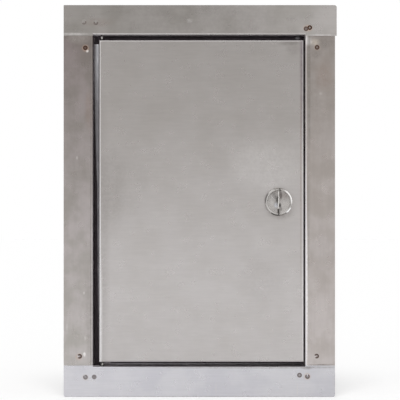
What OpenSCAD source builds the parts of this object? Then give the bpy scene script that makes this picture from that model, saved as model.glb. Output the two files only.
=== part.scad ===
// Chimney cleanout door in stainless sheet: a flanged frame that is set in the masonry,
// a shallow pan door on a hinge rod, and a quarter-turn latch with a dished knob.
// The origin is the middle of the opening, on the plane of the masonry face.
// +X is to the right, +Y goes into the wall and +Z is up.

/* [Opening] */
// Clear width of the frame's opening
opening_w = 203.2; // [150:0.1:320]
// Clear height of the frame's opening
opening_h = 317.5; // [200:0.1:420]

/* [Sheet] */
// Thickness of the sheet of the frame and the door
sheet = 1; // [0.8:0.1:1.2]
// Inside radius of every bend
bend_in = 1; // [0.6:0.1:1.4]

/* [Frame] */
// Depth of the frame, from the front of the flange to the back of the lip
frame_depth = 19; // [16:0.5:30]
// Width of the left flange
flange_left = 28.1; // [26:0.1:45]
// Width of the right flange
flange_right = 28.7; // [26:0.1:45]
// Width of the top flange
flange_top = 28.6; // [22:0.1:45]
// Width of the bottom flange
flange_bottom = 29.3; // [22:0.1:45]
// Length by which the top flange sticks out past the right flange
top_overhang = 1.6; // [0:0.1:4]
// Radius of the top flange's outer left corner
top_left_r = 0.6; // [0.3:0.1:4]
// Radius of the top flange's outer right corner
top_right_r = 2.2; // [0.3:0.1:4]
// Radius of the bottom flange's outer corners
bottom_corner_r = 2.2; // [0.3:0.1:4]
// Length by which the ends of the top and bottom flanges reach past the opening's edge
end_drop = 0.75; // [0.2:0.05:2]
// Gap of the butt joints between the flanges
seam_gap = 0.1; // [0.05:0.05:0.6]
// Width of the relief slits at the ends of the top and bottom bends
relief_w = 0.15; // [0.1:0.05:1]
// Gap between the top or bottom member and the sides' webs and lips
web_gap = 0.05; // [0.05:0.05:0.3]
// Width of the side members' inward lips, behind the door
lip_side_w = 9.5; // [8.5:0.1:12]
// Width of the lips of the top and bottom members
lip_end_w = 7.1; // [6.5:0.1:12]

/* [Corner plates and spot welds] */
// Thickness of the corner plates
plate_t = 1; // [0.8:0.1:1.5]
// Length by which a plate's level leg reaches in over the opening's width
plate_in = 8.1; // [7:0.1:14]
// Length by which a plate's upright leg reaches along the opening's height
plate_down = 20.75; // [18:0.25:40]
// Distance from the opening's side to a plate's outer edge
plate_out_x = 24.4; // [20:0.1:25.5]
// Distance from the opening's top or bottom to a plate's outer edge
plate_out_z = 19.25; // [16:0.25:21.5]
// Gap between a plate and the bend beside it
plate_clear = 0.9; // [0.5:0.1:1.5]
// Gap between a left plate's level leg and the hinge rod's cap
plate_cap_gap = 0.5; // [0.3:0.1:1]
// Diameter of a spot weld's nugget
weld_d = 3.6; // [2.5:0.1:3.6]
// Depth of the dimple that the electrodes leave
weld_dimple = 0.15; // [0.05:0.05:0.3]

/* [Door] */
// Gap between the door and the frame at the hinge side
gap_left = 5.7; // [5:0.1:8]
// Gap between the door and the frame at the latch side
gap_right = 1.2; // [1.2:0.05:4]
// Gap between the door and the frame at the top
gap_top = 4.7; // [1.5:0.1:8]
// Gap between the door and the frame at the bottom
gap_bottom = 3.9; // [2:0.1:8]
// Gap between the door's back edges and the lip
lip_clear = 0.6; // [0.5:0.1:1.5]

/* [Hinge] */
// Diameter of the hinge rod
rod_d = 2.4; // [2:0.1:3]
// Distance from the front of the door back to the hinge axis
rod_setback = 5; // [4.5:0.1:6]
// Gap between the rod and the door's side wall
rod_wall_gap = 0.3; // [0.2:0.05:0.5]
// Radial running clearance of the door on the rod
rod_clear = 0.1; // [0.05:0.01:0.1]
// Length of the rod outside the frame at each end
rod_stub = 3.5; // [3:0.1:6]
// Outer diameter of the push-on caps
cap_d = 5.4; // [4.5:0.1:5.5]
// Thickness of a cap past the rod's end
cap_end = 1; // [0.8:0.1:2]
// Chamfer round the closed end of a cap
cap_chamfer = 0.6; // [0.3:0.1:0.8]
// Outer diameter of the spacer sleeve that carries the door
spacer_d = 4.4; // [4:0.1:5]
// Gap between the spacer and the door
spacer_clear = 0.1; // [0.05:0.05:0.3]

/* [Latch place] */
// Distance from the door's right edge to the latch axis
latch_inset = 24.1; // [22:0.05:26]
// Distance of the latch axis below the door's middle
latch_drop = 0.7; // [-20:0.1:20]

/* [Latch knob] */
// Diameter of the knob
knob_d = 26.6; // [26:0.1:30]
// Thickness of the knob's disc
knob_t = 3.3; // [3:0.1:4]
// Rounding of the knob's outer edges
knob_round = 0.7; // [0.3:0.1:1]
// Radius of the hollow scooped out of the knob's face
scoop_r = 15.2; // [14.5:0.1:16]
// Depth of the hollow
scoop_depth = 5; // [4:0.1:5.2]
// Thickness of the fin left standing across the hollow
fin_t = 1.9; // [1.2:0.1:3]
// Width of the slots cut in the rim at the fin's ends
slot_w = 1.1; // [0.6:0.1:1.5]
// Depth of the slots
slot_depth = 1.6; // [0.8:0.1:2]
// Distance from the latch axis to the upper slot's inner end
slot_in_top = 9.6; // [6:0.1:11]
// Distance from the latch axis to the lower slot's inner end
slot_in_bottom = 6.6; // [6:0.1:11]
// Sideways shift of the upper slot
slot_shift_top = 0.9; // [-1:0.1:1]
// Sideways shift of the lower slot
slot_shift_bottom = -0.1; // [-1:0.1:1]
// Diameter of the knob's neck
neck_d = 16; // [15.8:0.1:16.4]
// Length of the neck behind the disc
neck_len = 10; // [6:0.1:11]
// Diameter of the shaft
shaft_d = 8; // [8:0.1:9]
// Width of the square tail across its flats
tail_w = 5.6; // [5:0.1:5.6]
// Radial running clearance of the knob in its housing
turn_clear = 0.05; // [0.03:0.01:0.1]
// Gap between faces that turn past each other
face_gap = 0.1; // [0.05:0.05:0.2]

/* [Latch housing] */
// Width of the rim of the housing's flange, round the barrel
collar_rim = 2.25; // [1.75:0.05:2.75]
// Thickness of the housing's flange
collar_t = 1; // [0.8:0.1:1.5]
// Diameter of the barrel
barrel_d = 20; // [19.8:0.1:21]
// Width of the barrel across its two flats
barrel_flats = 18.6; // [18.4:0.1:19.2]
// Pitch of the rings that stand for the barrel's thread
thread_pitch = 1.5; // [1:0.25:2]
// Depth of the thread
thread_depth = 0.5; // [0.3:0.05:0.6]
// Clearance of the barrel in the door's hole and in the nut
barrel_clear = 0.08; // [0.05:0.01:0.1]
// Width of the toothed lock washer's ring
lock_ring = 2.5; // [2:0.1:3]
// Thickness of the lock washer
lock_t = 0.8; // [0.6:0.1:1.2]
// Number of teeth round the lock washer
lock_teeth = 12; // [8:1:18]
// Depth of the notches between the teeth
lock_notch = 1.4; // [0.8:0.1:1.6]
// Thickness of the nut's wall at its flats
nut_wall = 3; // [2.5:0.1:4]
// Thickness of the nut
nut_t = 3.5; // [3:0.1:5]
// Height of the chamfer at the nut's corners, on both faces
nut_chamfer = 0.9; // [0.4:0.1:1.3]
// Distance from the nut's flats in to the round edge of its faces
nut_face_in = 0.5; // [0.3:0.1:1]
// Thickness of the spring washer
spring_t = 0.9; // [0.6:0.1:1.2]

/* [Latch stop] */
// Thickness of the stop washer
stop_t = 1.6; // [1.2:0.1:2]
// Radius of the stop washer without its tab
stop_r = 5.8; // [5.2:0.1:5.8]
// Radius of the stop washer's tab
stop_tab_r = 9.3; // [8.5:0.1:9.6]
// Angle that the tab takes up
stop_tab_angle = 60; // [30:5:80]
// Gap in degrees between the tab and the lug at each limit
stop_gap_angle = 2; // [1:0.5:4]
// Gap between the stop washer and the lug round it
lug_clear = 0.3; // [0.2:0.1:0.5]

/* [Cam] */
// Gap between the back of the lip and the cam
cam_clear = 0.4; // [0.3:0.1:1]
// Thickness of the cam
cam_t = 2; // [1.5:0.1:3]
// Radius of the cam's round end
cam_hub_r = 8; // [7:0.1:10]
// Width of the cam's arm
cam_w = 12; // [8:0.1:13]
// Reach of the arm from the latch axis
cam_reach = 22; // [19.5:0.1:23.5]
// Radius of the corners at the arm's tip
cam_tip_r = 2; // [1:0.1:3]
// Clearance of the square holes on the square tail, on each side
square_clear = 0.05; // [0.03:0.01:0.1]
// Length by which the cam stands past the end of the tail
clamp_gap = 0.2; // [0.1:0.1:0.4]
// Diameter of the cam's washer
washer_d = 10; // [9:0.1:12]
// Thickness of the cam's washer
washer_t = 1; // [0.8:0.1:1.5]
// Diameter of the cam's screw
screw_d = 4; // [3:0.1:4]
// Length of the screw under its head
screw_len = 9.8; // [8:0.1:10]
// Room left in the tail's hole past the screw's tip
screw_room = 0.4; // [0.2:0.1:1]
// Radial clearance of the cam's washer round the screw
screw_clear = 0.15; // [0.1:0.05:0.4]
// Diameter of the screw's head
head_d = 7.5; // [7:0.1:8.5]
// Height of the screw's head
head_t = 2.4; // [2:0.1:3]
// Chamfer round the top of the screw's head
head_chamfer = 0.5; // [0.2:0.1:0.8]
// Width of the hexagon socket in the screw's head
socket_w = 3; // [2:0.1:3.5]
// Depth of the hexagon socket
socket_depth = 1.4; // [1:0.1:1.6]

/* [Hidden] */

// Share of the thread's pitch that its groove takes up
thread_groove = 0.8;
// Facets of round faces, enough for each to be a true cylinder
round_fn = 64;
// Clearance of fixed parts in their holes
fixed_clear = 0.02;
// Extra length of a cut past the face that it opens
cut = 1;
// Reach of a trimming form past the corners that it leaves standing
trim = 0.1;
// Turn of the latch from open to shut
latch_turn_angle = 90;

// Frame planes and edges
bend_out = bend_in + sheet;
front_y = -(plate_t + sheet);
lip_back = front_y + frame_depth;
half_w = opening_w / 2;
half_h = opening_h / 2;
side_flange_end = half_h - end_drop - seam_gap;
lip_half = half_h - lip_end_w - web_gap;

// Door edges
door_left = -half_w + gap_left;
door_right = half_w - gap_right;
door_top = half_h - gap_top;
door_bottom = -half_h + gap_bottom;
door_back = lip_back - sheet - lip_clear;

// Hinge axis
rod_x = door_left + sheet + rod_wall_gap + rod_d / 2;
rod_y = front_y + rod_setback;
rod_half = half_h + sheet + rod_stub;

// Latch axis and the planes of its stack, from front to back
latch_x = door_right - latch_inset;
latch_z = (door_top + door_bottom) / 2 - latch_drop;
collar_front = front_y - collar_t;
collar_d = barrel_d + 2 * collar_rim;
lock_d = barrel_d + 2 * lock_ring;
nut_w = barrel_d + 2 * nut_wall;
knob_back = collar_front - face_gap;
knob_front = knob_back - knob_t;
neck_end = knob_back + neck_len;
spring_front = neck_end + face_gap;
spring_seat = spring_front + spring_t;
lock_front = front_y + sheet;
nut_front = lock_front + lock_t;
cam_front = lip_back + cam_clear;
cam_back = cam_front + cam_t;
stop_front = cam_front - stop_t;
barrel_end = stop_front - face_gap;
lug_back = cam_front - lug_clear;
tail_end = cam_back - clamp_gap;
head_front = cam_back + washer_t;
screw_tip = head_front - screw_len;
screw_hole_end = screw_tip - screw_room;
// Depth to which the knob's fin is rooted in the floor of the hollow
fin_root = 0.3;

// Directions of the stop's tab, clockwise from straight up as seen from the front
tab_from = 180 - stop_tab_angle / 2;
tab_to = 180 + stop_tab_angle / 2;
free_from = tab_from - stop_gap_angle;
free_to = tab_to + latch_turn_angle + stop_gap_angle;

// Spot welds at each corner: side of the opening, end of the opening, and the welds'
// offsets outwards from the corner of the opening, in X and Z
WELDS = [
    [-1, 1, [[8.5, 12.15], [-2.8, 11.45], [7.3, -12.35]]],
    [1, 1, [[0.9, 5.95], [4.5, 7.05], [11.5, -11.85]]],
    [-1, -1, [[7.2, 10.35], [-1.2, 10.15], [12.8, -9.65]]],
    [1, -1, [[-5.3, 8.45], [2.3, 9.75], [11.1, -9.85]]]
];

// Puts a shape that is drawn along +Z on the latch axis, pointing backwards from plane y
module at_latch(y) {
    translate([latch_x, y, latch_z])
        rotate([-90, 0, 0])
            children();
}

// Turns a profile of (outward distance, depth) into a bar along X, outward being up
module bar_along_x(length) {
    rotate([0, -90, 0])
        linear_extrude(height = length, center = true)
            children();
}

// Turns an outline of (X, Z) into sheet of the given thickness behind plane y
module sheet_at(y, thickness) {
    translate([0, y + thickness, 0])
        rotate([90, 0, 0])
            linear_extrude(height = thickness)
                children();
}

// Quarter of a bent sheet round the point at, towards the signs in side
module bend_2d(at, side) {
    translate(at)
        intersection() {
            difference() {
                circle(r = bend_out, $fn = round_fn);
                circle(r = bend_in, $fn = round_fn);
            }
            scale([side[0], side[1]])
                square(bend_out);
        }
}

// Web of a frame member; the opening is on the side of negative X
module web_2d() {
    translate([0, front_y + bend_out])
        square([sheet, frame_depth - 2 * bend_out]);
}

// Web with the front bend and the root of the flange, to the given width
module front_2d(width) {
    web_2d();
    bend_2d([bend_out, front_y + bend_out], [-1, -1]);
    translate([bend_out, front_y])
        square([width - bend_out, sheet]);
}

// Web with the back bend and the lip
module lip_2d(width) {
    web_2d();
    bend_2d([sheet - bend_out, lip_back - bend_out], [1, 1]);
    translate([-width, lip_back - sheet])
        square([width - bend_in, sheet]);
}

// Holes for every spot weld, through the flanges and the plates
module weld_holes() {
    weld_cylinders(weld_d / 2 + fixed_clear, front_y - cut, cut);
}

// One cylinder at each spot weld, from depth y0 to depth y1
module weld_cylinders(radius, y0, y1) {
    for (corner = WELDS)
        for (offset = corner[2])
            translate([corner[0] * (half_w + offset[0]), y0, corner[1] * (half_h + offset[1])])
                rotate([-90, 0, 0])
                    cylinder(r = radius, h = y1 - y0, $fn = round_fn);
}

// Hole for the hinge rod through everything from z0 to z1
module rod_hole(z0, z1, clearance) {
    translate([rod_x, rod_y, z0])
        cylinder(r = rod_d / 2 + clearance, h = z1 - z0, $fn = round_fn);
}

// Side member on the right; the left one is its mirror image with its own flange. Where its
// lip makes room for the end members' lips, the web runs straight to the back
module side_member(flange_w) {
    translate([half_w, 0, 0]) {
        linear_extrude(height = 2 * side_flange_end, center = true)
            front_2d(flange_w);
        linear_extrude(height = opening_h + 2 * sheet, center = true)
            web_2d();
        linear_extrude(height = 2 * lip_half, center = true)
            lip_2d(lip_side_w);
        for (z = [-half_h - sheet, lip_half])
            translate([0, front_y + bend_out, z])
                cube([sheet, frame_depth - bend_out, half_h + sheet - lip_half]);
    }
}

// Strip from x0 to x1 and z0 to z1, with its two upper corners rounded
module strip_2d(x0, x1, z0, z1, left_r, right_r) {
    difference() {
        translate([x0, z0])
            square([x1 - x0, z1 - z0]);
        translate([x0 - cut, z1 - left_r])
            square([left_r + cut, left_r + cut]);
        translate([x1 - right_r, z1 - right_r])
            square([right_r + cut, right_r + cut]);
    }
    translate([x0 + left_r, z1 - left_r])
        circle(r = left_r, $fn = round_fn);
    translate([x1 - right_r, z1 - right_r])
        circle(r = right_r, $fn = round_fn);
}

// Outline of an upper flange in (X, Z): a strip with an end tongue at each side
module end_flange_2d(left, right, width, left_r, right_r) {
    x0 = -half_w - left;
    x1 = half_w + right;
    tongue_from = half_w - web_gap + relief_w;
    tongue_h = end_drop + bend_out;
    strip_2d(x0, x1, half_h + bend_out, half_h + width, left_r, right_r);
    translate([x0, half_h - end_drop])
        square([-tongue_from - x0, tongue_h]);
    translate([tongue_from, half_h - end_drop])
        square([x1 - tongue_from, tongue_h]);
}

// Upper member; the lower one is its mirror image with its own flange
module end_member(left, right, width, left_r, right_r) {
    sheet_at(front_y, sheet)
        end_flange_2d(left, right, width, left_r, right_r);
    translate([0, 0, half_h]) {
        bar_along_x(opening_w - 2 * web_gap) {
            front_2d(2 * bend_out);
            lip_2d(lip_end_w);
        }
    }
}

module frame_top() {
    color("#a29c99")
        difference() {
            end_member(flange_left, flange_right + top_overhang, flange_top,
                       top_left_r, top_right_r);
            weld_holes();
            rod_hole(half_h - cut, half_h + sheet + cut, fixed_clear);
        }
}

module frame_bottom() {
    color("#c5c3c8")
        difference() {
            mirror([0, 0, 1])
                end_member(flange_left, flange_right, flange_bottom,
                           bottom_corner_r, bottom_corner_r);
            weld_holes();
            rod_hole(-half_h - sheet - cut, -half_h + cut, fixed_clear);
        }
}

module frame_left() {
    color("#9a918e")
        difference() {
            mirror([1, 0, 0])
                side_member(flange_left);
            weld_holes();
        }
}

module frame_right() {
    color("#a39b96")
        difference() {
            side_member(flange_right);
            weld_holes();
        }
}

// L-shaped plate behind a corner of the frame, on the side and end given as signs; the
// level leg of a left one starts past the hinge rod's cap
module corner_plate(side, end) {
    start = bend_out + plate_clear;
    level_start = side < 0 ? sheet + rod_stub + cap_end + plate_cap_gap : start;
    color("#8f8b88")
        difference() {
            scale([side, 1, end])
                sheet_at(-plate_t, plate_t) {
                    translate([half_w - plate_in, half_h + level_start])
                        square([plate_in + plate_out_x, plate_out_z - level_start]);
                    translate([half_w + start, half_h - plate_down])
                        square([plate_out_x - start, plate_down + plate_out_z]);
                }
            weld_holes();
        }
}

// Weld nuggets through the flanges and the plates, sunk a little at both faces
module spot_welds() {
    color("#8a7464")
        weld_cylinders(weld_d / 2, front_y + weld_dimple, -weld_dimple);
}

module hinge_rod() {
    color("#b9b6b3")
        translate([rod_x, rod_y, -rod_half])
            cylinder(d = rod_d, h = 2 * rod_half, $fn = round_fn);
}

// Round plug of diameter d and height h along +Z, chamfered at its far end
module plug(d, h, chamfer) {
    cylinder(d = d, h = h - chamfer, $fn = round_fn);
    translate([0, 0, h - chamfer])
        cylinder(d1 = d, d2 = d - 2 * chamfer, h = chamfer, $fn = round_fn);
}

// Push-on cap on the upper end of the rod, standing on the frame
module rod_cap_upper() {
    color("#8d8a87")
        difference() {
            translate([rod_x, rod_y, half_h + sheet])
                plug(cap_d, rod_stub + cap_end, cap_chamfer);
            rod_hole(half_h, rod_half + face_gap, fixed_clear);
        }
}

module rod_cap_lower() {
    color("#8d8a87")
        difference() {
            translate([rod_x, rod_y, -half_h - sheet])
                mirror([0, 0, 1])
                    plug(cap_d, rod_stub + cap_end, cap_chamfer);
            rod_hole(-rod_half - face_gap, -half_h, fixed_clear);
        }
}

// Sleeve on the rod between the bottom of the frame and the door, which it carries
module hinge_spacer() {
    color("#a5a29f")
        difference() {
            translate([rod_x, rod_y, -half_h])
                cylinder(d = spacer_d, h = gap_bottom - spacer_clear, $fn = round_fn);
            rod_hole(-half_h - cut, door_bottom + cut, rod_clear);
        }
}

// Outline from a to b, from depth y0 back to y1, with its front corners rounded
module pan_2d(a, b, y0, y1, r) {
    translate([a, y0 + r])
        square([b - a, y1 - y0 - r]);
    translate([a + r, y0])
        square([b - a - 2 * r, r]);
    for (x = [a + r, b - r])
        translate([x, y0 + r])
            circle(r = r, $fn = round_fn);
}

// Solid block of the door with rounded front edges, drawn in by inset on every side
module pan_block(inset, back) {
    y0 = front_y + inset;
    r = bend_out - inset;
    intersection() {
        translate([0, 0, door_bottom + inset])
            linear_extrude(height = door_top - door_bottom - 2 * inset)
                pan_2d(door_left + inset, door_right - inset, y0, back, r);
        translate([door_right - inset, 0, 0])
            rotate([0, -90, 0])
                linear_extrude(height = door_right - door_left - 2 * inset)
                    pan_2d(door_bottom + inset, door_top - inset, y0, back, r);
    }
}

// Outline of the barrel, round with two upright flats, grown by clearance
module barrel_2d(clearance) {
    intersection() {
        circle(r = barrel_d / 2 + clearance, $fn = round_fn);
        square([barrel_flats + 2 * clearance, barrel_d + 2 * cut], center = true);
    }
}

module door_pan() {
    color("#b2aeac")
        difference() {
            pan_block(0, door_back);
            pan_block(sheet, door_back + cut);
            rod_hole(door_bottom - cut, door_top + cut, rod_clear);
            at_latch(front_y - cut)
                linear_extrude(height = sheet + 2 * cut)
                    barrel_2d(barrel_clear);
        }
}

// Wedge from the latch axis between two directions, clockwise from straight up
module wedge_2d(from, to, reach) {
    steps = 4;
    polygon(concat(
        [[0, 0]],
        [for (i = [0:steps]) let (a = from + (to - from) * i / steps) reach * [sin(a), -cos(a)]]
    ));
}

// One ring of the thread's groove, cut into the barrel round the local origin
module thread_ring() {
    r = barrel_d / 2;
    half = thread_pitch * thread_groove / 2;
    rotate_extrude($fn = round_fn)
        polygon([[r - thread_depth, 0], [r, half], [r + cut, half], [r + cut, -half], [r, -half]]);
}

// Housing: a flange on the door's face and a barrel with the stop's lug at its end
module latch_housing() {
    color("#8f8d8b")
        difference() {
            union() {
                at_latch(collar_front)
                    cylinder(d = collar_d, h = collar_t, $fn = round_fn);
                at_latch(front_y)
                    linear_extrude(height = barrel_end - front_y)
                        barrel_2d(0);
                at_latch(barrel_end)
                    linear_extrude(height = lug_back - barrel_end)
                        difference() {
                            barrel_2d(0);
                            circle(r = stop_r + lug_clear, $fn = round_fn);
                            wedge_2d(free_from, free_to, barrel_d);
                        }
            }
            at_latch(collar_front - cut)
                cylinder(d = neck_d + 2 * turn_clear, h = spring_seat - collar_front + cut,
                         $fn = round_fn);
            at_latch(front_y)
                cylinder(d = shaft_d + 2 * turn_clear, h = barrel_end - front_y + cut,
                         $fn = round_fn);
            for (y = [nut_front + thread_pitch:thread_pitch:barrel_end - thread_pitch / 2])
                at_latch(y)
                    thread_ring();
        }
}

module latch_lock_washer() {
    notch_w = PI * lock_d / lock_teeth / 2;
    color("#8f8d8b")
        at_latch(lock_front)
            difference() {
                cylinder(d = lock_d, h = lock_t, $fn = round_fn);
                translate([0, 0, -cut])
                    cylinder(d = barrel_d + 2 * barrel_clear, h = lock_t + 2 * cut, $fn = round_fn);
                for (i = [0:lock_teeth - 1])
                    rotate([0, 0, i * 360 / lock_teeth])
                        translate([lock_d / 2 - lock_notch, -notch_w / 2, -cut])
                            cube([lock_notch + cut, notch_w, lock_t + 2 * cut]);
            }
}

module latch_nut() {
    corner_r = nut_w / 2 / cos(30);
    face_r = nut_w / 2 - nut_face_in;
    trim_r = corner_r + trim;
    color("#93918f")
        at_latch(nut_front)
            difference() {
                intersection() {
                    cylinder(r = corner_r, h = nut_t, $fn = 6);
                    rotate_extrude($fn = round_fn)
                        polygon([[0, 0], [face_r, 0], [trim_r, nut_chamfer],
                                 [trim_r, nut_t - nut_chamfer], [face_r, nut_t], [0, nut_t]]);
                }
                translate([0, 0, -cut])
                    cylinder(d = barrel_d + 2 * barrel_clear, h = nut_t + 2 * cut, $fn = round_fn);
            }
}

module latch_spring_washer() {
    color("#7f7d7b")
        at_latch(spring_front)
            difference() {
                cylinder(d = neck_d - 4 * turn_clear, h = spring_t, $fn = round_fn);
                translate([0, 0, -cut])
                    cylinder(d = shaft_d + 4 * turn_clear, h = spring_t + 2 * cut, $fn = round_fn);
            }
}

// Half section of the knob's round body: disc, neck and shaft, hollowed from the front
module knob_body_2d() {
    r = knob_d / 2;
    difference() {
        union() {
            square([r - knob_round, knob_t]);
            translate([0, knob_round])
                square([r, knob_t - 2 * knob_round]);
            for (y = [knob_round, knob_t - knob_round])
                translate([r - knob_round, y])
                    circle(r = knob_round, $fn = round_fn);
            translate([0, knob_t])
                square([neck_d / 2, neck_len]);
            translate([0, knob_t + neck_len])
                square([shaft_d / 2, stop_front - neck_end]);
        }
        translate([0, scoop_depth - scoop_r])
            circle(r = scoop_r, $fn = round_fn);
    }
}

// Fin across the hollow, rooted a little way into its floor
module knob_fin() {
    intersection() {
        translate([0, 0, scoop_depth - scoop_r])
            sphere(r = scoop_r + fin_root, $fn = round_fn);
        translate([-fin_t / 2, -knob_d / 2, 0])
            cube([fin_t, knob_d, 2 * scoop_depth]);
    }
}

// Slot in the knob's rim, above the axis for end 1 and below it for end -1
module rim_slot(end, inner, shift) {
    rotate([0, 0, end > 0 ? 180 : 0])
        translate([-end * shift - slot_w / 2, inner, -cut])
            cube([slot_w, knob_d, slot_depth + cut]);
}

// Knob: a disc with a spherical hollow on each side of the fin, a neck, a shaft and a tail
module latch_knob() {
    color("#c9c6c4")
        difference() {
            union() {
                at_latch(knob_front) {
                    rotate_extrude($fn = round_fn)
                        knob_body_2d();
                    knob_fin();
                }
                at_latch(stop_front)
                    translate([-tail_w / 2, -tail_w / 2, 0])
                        cube([tail_w, tail_w, tail_end - stop_front]);
            }
            at_latch(knob_front) {
                rim_slot(1, slot_in_top, slot_shift_top);
                rim_slot(-1, slot_in_bottom, slot_shift_bottom);
            }
            at_latch(screw_hole_end)
                cylinder(d = screw_d + 2 * fixed_clear, h = tail_end - screw_hole_end + cut,
                         $fn = round_fn);
        }
}

// Square hole for the tail, through a thickness that starts at the local origin
module tail_hole(thickness) {
    w = tail_w + 2 * square_clear;
    translate([-w / 2, -w / 2, -cut])
        cube([w, w, thickness + 2 * cut]);
}

module latch_stop_washer() {
    color("#85837f")
        at_latch(stop_front)
            difference() {
                linear_extrude(height = stop_t) {
                    circle(r = stop_r, $fn = round_fn);
                    intersection() {
                        circle(r = stop_tab_r, $fn = round_fn);
                        wedge_2d(tab_from, tab_to, barrel_d);
                    }
                }
                tail_hole(stop_t);
            }
}

// Cam: a hub and an arm that points up while the latch is open
module latch_cam() {
    tip_x = cam_w / 2 - cam_tip_r;
    color("#8c8a88")
        at_latch(cam_front)
            difference() {
                linear_extrude(height = cam_t) {
                    circle(r = cam_hub_r, $fn = round_fn);
                    translate([-cam_w / 2, cam_tip_r - cam_reach])
                        square([cam_w, cam_reach - cam_tip_r]);
                    translate([-tip_x, -cam_reach])
                        square([2 * tip_x, cam_tip_r]);
                    for (x = [-tip_x, tip_x])
                        translate([x, cam_tip_r - cam_reach])
                            circle(r = cam_tip_r, $fn = round_fn);
                }
                tail_hole(cam_t);
            }
}

module cam_washer() {
    color("#a5a3a1")
        at_latch(cam_back)
            difference() {
                cylinder(d = washer_d, h = washer_t, $fn = round_fn);
                translate([0, 0, -cut])
                    cylinder(d = screw_d + 2 * screw_clear, h = washer_t + 2 * cut, $fn = round_fn);
            }
}

module cam_screw() {
    color("#77757a")
        difference() {
            union() {
                at_latch(screw_tip)
                    cylinder(d = screw_d, h = screw_len, $fn = round_fn);
                at_latch(head_front)
                    plug(head_d, head_t, head_chamfer);
            }
            at_latch(head_front + head_t - socket_depth)
                cylinder(d = socket_w / cos(30), h = socket_depth + cut, $fn = 6);
        }
}

frame_top();
frame_bottom();
frame_left();
frame_right();
corner_plate(-1, 1);  // corner_plate_top_left
corner_plate(1, 1);  // corner_plate_top_right
corner_plate(-1, -1);  // corner_plate_bottom_left
corner_plate(1, -1);  // corner_plate_bottom_right
spot_welds();
hinge_rod();
rod_cap_upper();
rod_cap_lower();
hinge_spacer();
door_pan();
latch_housing();
latch_lock_washer();
latch_nut();
latch_spring_washer();
latch_knob();
latch_stop_washer();
latch_cam();
cam_washer();
cam_screw();
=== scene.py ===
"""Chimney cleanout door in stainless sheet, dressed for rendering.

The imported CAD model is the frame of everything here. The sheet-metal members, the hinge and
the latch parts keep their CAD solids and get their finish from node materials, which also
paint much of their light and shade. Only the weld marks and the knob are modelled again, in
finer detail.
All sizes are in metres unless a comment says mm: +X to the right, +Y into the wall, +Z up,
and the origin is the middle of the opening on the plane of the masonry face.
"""

import math
from functools import partial

import bmesh
import bpy
from bpy.props import FloatProperty, FloatVectorProperty, IntProperty, PointerProperty
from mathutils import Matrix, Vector


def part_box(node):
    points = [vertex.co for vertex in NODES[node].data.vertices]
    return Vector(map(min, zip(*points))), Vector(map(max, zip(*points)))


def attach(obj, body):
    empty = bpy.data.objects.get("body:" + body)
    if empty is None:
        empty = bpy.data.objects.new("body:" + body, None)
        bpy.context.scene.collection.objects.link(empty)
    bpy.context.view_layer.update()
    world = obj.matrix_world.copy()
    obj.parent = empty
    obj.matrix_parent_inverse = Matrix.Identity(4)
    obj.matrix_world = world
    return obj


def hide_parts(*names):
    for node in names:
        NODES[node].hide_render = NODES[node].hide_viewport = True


bl_info = {
    "name": "Chimney Cleanout Door",
    "version": (1, 0, 0),
    "blender": (4, 5, 0),
    "location": "3D View > Sidebar > Cleanout Door",
    "description": "Finishes and fine parts for a sheet-metal chimney cleanout door",
    "category": "Object",
}

MM = 0.001

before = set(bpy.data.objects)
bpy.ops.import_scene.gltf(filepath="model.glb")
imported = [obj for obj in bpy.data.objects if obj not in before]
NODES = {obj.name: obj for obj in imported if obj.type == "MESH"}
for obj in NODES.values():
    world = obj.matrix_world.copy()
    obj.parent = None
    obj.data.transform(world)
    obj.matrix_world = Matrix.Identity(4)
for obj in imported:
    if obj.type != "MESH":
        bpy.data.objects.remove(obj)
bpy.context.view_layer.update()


# Colour

def linear(hex_colour):
    """Linear RGBA of an sRGB hex colour."""
    channels = [int(hex_colour[i:i + 2], 16) / 255 for i in (1, 3, 5)]
    return tuple(c / 12.92 if c <= 0.04045 else ((c + 0.055) / 1.055) ** 2.4
                 for c in channels) + (1.0,)


# Measures, most of them read from the CAD nodes

def middle(part):
    """Middle of a CAD node's box."""
    low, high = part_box(part)
    return (low + high) / 2


LATCH_AXIS = middle("latch_housing")
KNOB_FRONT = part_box("latch_knob")[0].y
KNOB_BACK = KNOB_FRONT + 3.3 * MM
NECK_END = KNOB_BACK + 10 * MM
SHAFT_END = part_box("latch_stop_washer")[0].y
TAIL_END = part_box("latch_knob")[1].y
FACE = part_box("frame_top")[0].y
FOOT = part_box("frame_bottom")[0].z

# Half the opening's width and height
HALF_W = 101.6 * MM
HALF_H = 158.75 * MM

# Inside the sheet: half its thickness, the middle of the lips, and how far behind the front
# the touches end, just short of the sheet's back
HALF_SHEET = 0.5 * MM
LIP_MIDDLE = 16.5 * MM
TOUCH_END = 0.95 * MM

# Sizes in mm of the sheet's patterns. Real rolling marks are under 0.1 mm wide: the streaks
# and the bumps are drawn as coarse as it takes to show them
ROLLING_STREAK = 1.6
ROLLING_BUMP = 2.4
TOUCH_SPECKLE = 2.2
WEAR_PATCH = 9.0

# The knob: radii of its neck and shaft, half the width of its square tail, width of the fin
# at its root and how far that root is over the bottom of the hollow, rounding of the hollow's
# edge and of the fin's crest, and the disc's facets
NECK_RADIUS = 8 * MM
SHAFT_RADIUS = 4 * MM
TAIL_HALF = 2.8 * MM
FIN_ROOT = 2.6 * MM
ROOT_RISE = 0.4 * MM
CREST_ROUND = 0.35 * MM
KNOB_SIDES = 96

# Foot and head of the fin from the latch axis in mm, and the height at which it sways most,
# with the distance from there at which it is back in line
FIN_FOOT, FIN_HEAD = -6.9, 10.6
SWAY_MIDDLE, SWAY_REACH = 3, 6.6

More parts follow.
